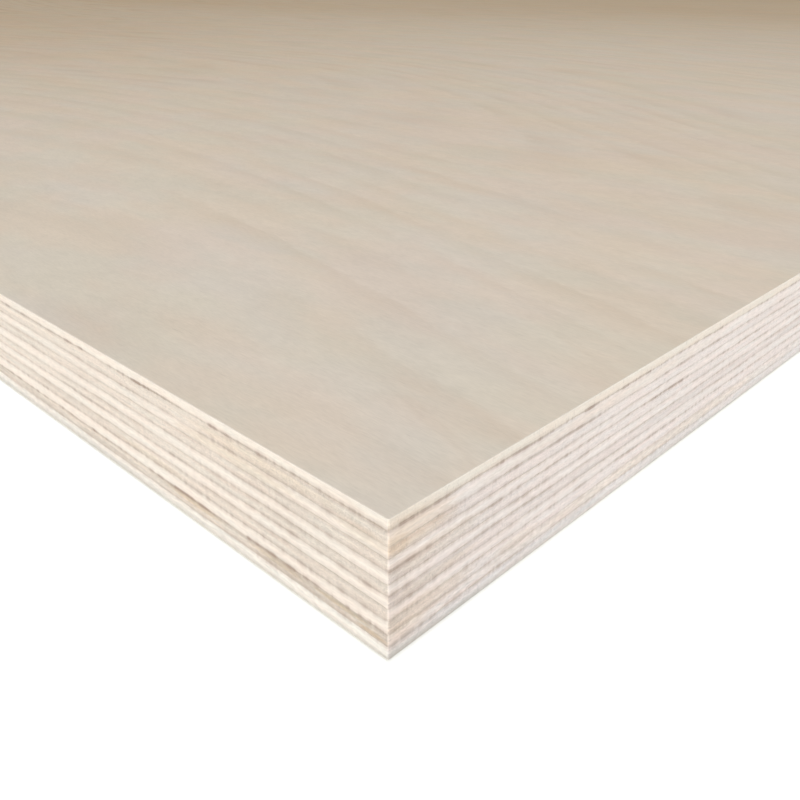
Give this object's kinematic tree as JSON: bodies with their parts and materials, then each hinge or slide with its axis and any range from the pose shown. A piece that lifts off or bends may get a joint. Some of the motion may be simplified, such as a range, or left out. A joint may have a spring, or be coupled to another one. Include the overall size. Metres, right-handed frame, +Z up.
{
  "type": "plywood sheet",
  "caption": "Rectangular sheet of birch plywood with square-cut edges that show its alternating plies, for building, panelling and furniture.",
  "frame": {"origin": "centre of the sheet's underside, on the level floor that it lies on", "axes": "+X along the sheet's length and the grain of its faces, +Y across it, +Z up out of the good face"},
  "size_m": [2.44, 1.22, 0.015],
  "materials": {
    "face_birch": "matte",
    "long_grain_birch": "matte",
    "cross_grain_birch": "matte"
  },
  "bodies": {
    "root": {"face_veneer": "face_birch", "cross_ply_02": "cross_grain_birch", "long_ply_03": "long_grain_birch", "cross_ply_04": "cross_grain_birch", "long_ply_05": "long_grain_birch", "cross_ply_06": "cross_grain_birch", "long_ply_07": "long_grain_birch", "cross_ply_08": "cross_grain_birch", "long_ply_09": "long_grain_birch", "cross_ply_10": "cross_grain_birch", "back_veneer": "face_birch"}
  },
  "joints": []
}
